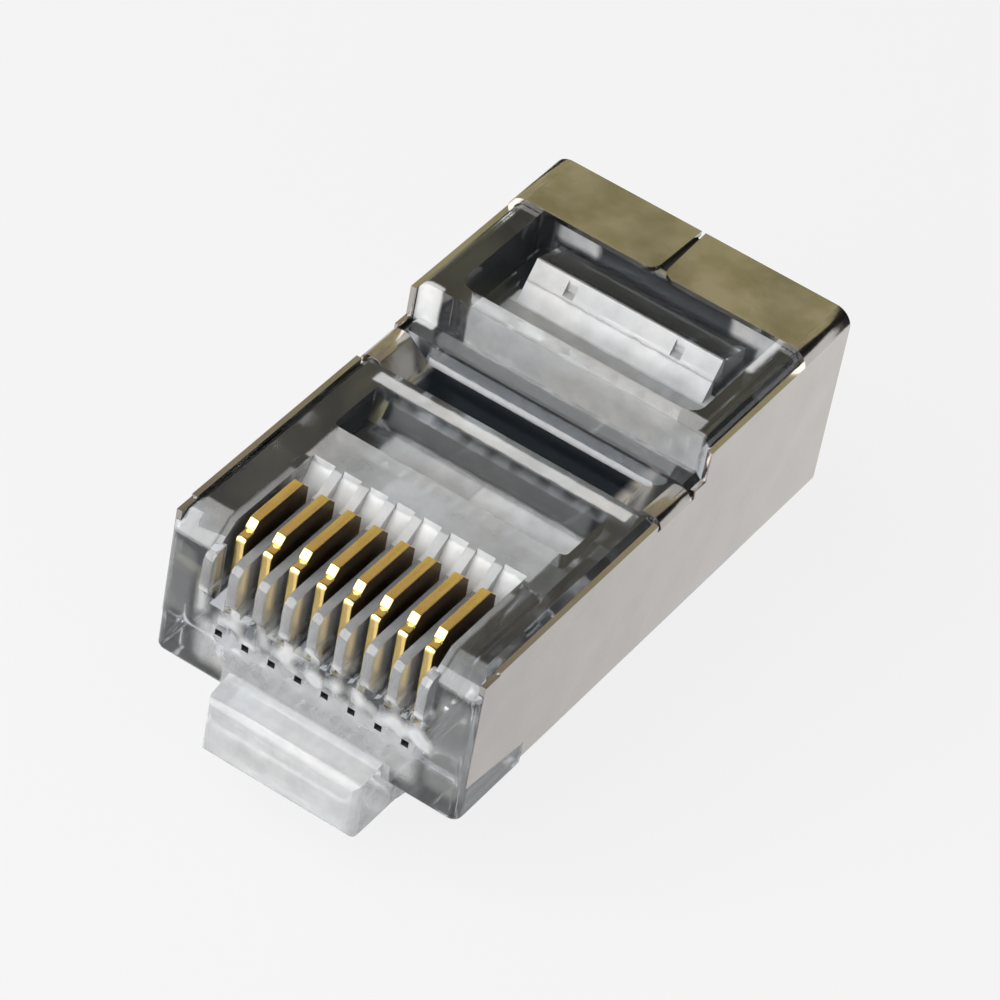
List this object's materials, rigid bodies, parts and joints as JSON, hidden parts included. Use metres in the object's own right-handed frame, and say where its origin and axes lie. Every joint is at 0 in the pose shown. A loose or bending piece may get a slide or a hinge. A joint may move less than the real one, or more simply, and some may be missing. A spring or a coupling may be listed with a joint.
{
  "type": "rj45 modular plug",
  "caption": "Shielded modular plug for network cable: clear moulded housing with gold blades, a sprung latch and a folded metal shield with a cable collar.",
  "frame": {"origin": "middle of the lower edge of the nose's front face", "axes": "+X across the plug to the right with the contacts up and the nose away from the cable, +Y from the nose to the cable entry, +Z from the latch side to the contact side"},
  "size_m": [0.0116, 0.0223, 0.0118],
  "materials": {
    "clear_plastic": "clear moulded polycarbonate, glossy",
    "plated_sheet": "bright nickel plating on folded sheet",
    "gold_contact": "hard gold plating, bright"
  },
  "bodies": {
    "plug_body": {"housing": "clear_plastic", "shield": "plated_sheet", "contact_1": "gold_contact", "contact_2": "gold_contact", "contact_3": "gold_contact", "contact_4": "gold_contact", "contact_5": "gold_contact", "contact_6": "gold_contact", "contact_7": "gold_contact", "contact_8": "gold_contact"},
    "latch_lever": {"latch": "clear_plastic"}
  },
  "joints": [
    {"name": "latch_press", "type": "hinge", "parent": "plug_body", "child": "latch_lever", "pos_m": [0, 0.00145, -0.00125], "axis": [1, 0, 0], "range_deg": [0, 11.5], "stiffness_Nm_per_rad": 0.3}
  ]
}
